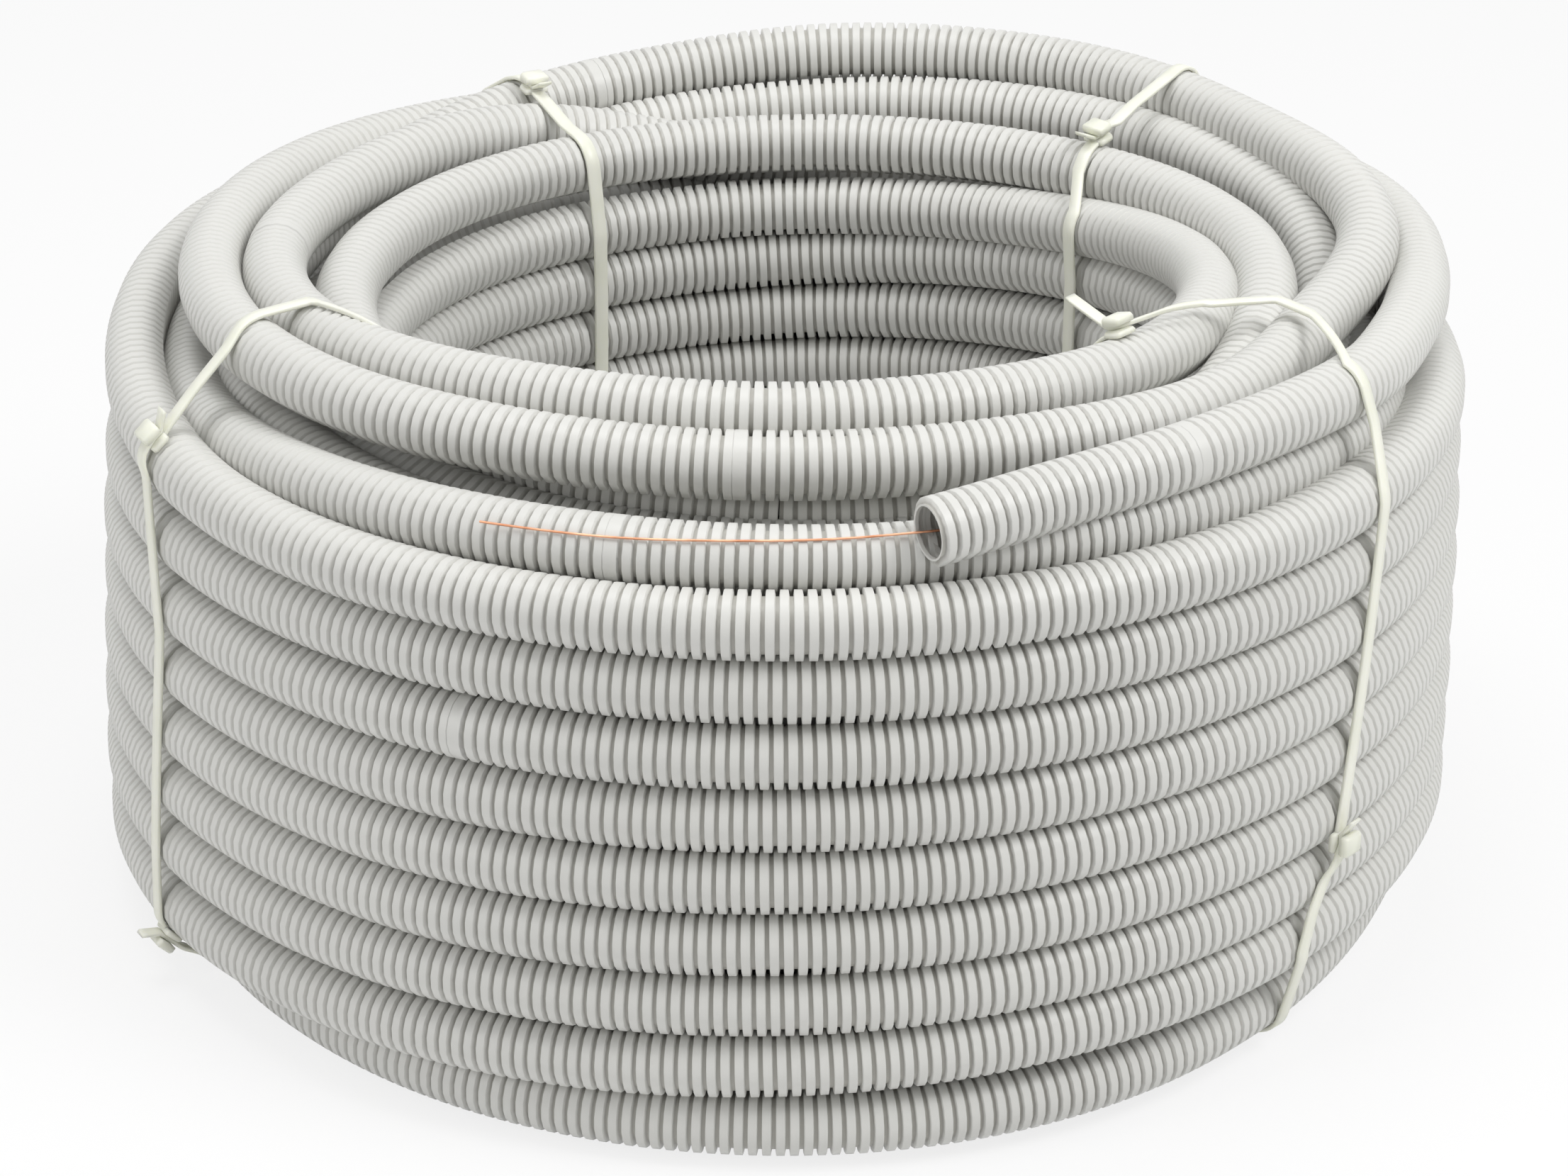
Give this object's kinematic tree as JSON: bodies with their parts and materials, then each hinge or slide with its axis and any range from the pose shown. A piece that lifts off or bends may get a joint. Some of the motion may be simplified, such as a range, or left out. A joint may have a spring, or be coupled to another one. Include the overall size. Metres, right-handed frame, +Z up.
{
  "type": "corrugated conduit coil",
  "caption": "Coil of ribbed flexible plastic conduit held by nylon ties in strapped loops, with its cut end and a copper-coloured draw wire lying on top at the front.",
  "frame": {"origin": "centre of the coil's axis on the floor, under the straps it rests on", "axes": "+Z up along the coil's axis, the cut end and the draw wire lie on top at the front, which is -Y"},
  "size_m": [0.4329, 0.433, 0.2204],
  "materials": {
    "conduit": "satin light grey polypropylene",
    "tie": "natural translucent nylon",
    "draw_wire": "copper-coloured drawn wire"
  },
  "bodies": {
    "root": {"conduit": "conduit", "draw_wire": "draw_wire", "tie_front_left_upper": "tie", "tie_front_left_lower": "tie", "tie_front_right_inner": "tie", "tie_front_right_outer": "tie", "tie_back_left_upper": "tie", "tie_back_left_lower": "tie", "tie_back_right_upper": "tie", "tie_back_right_lower": "tie"}
  },
  "joints": []
}
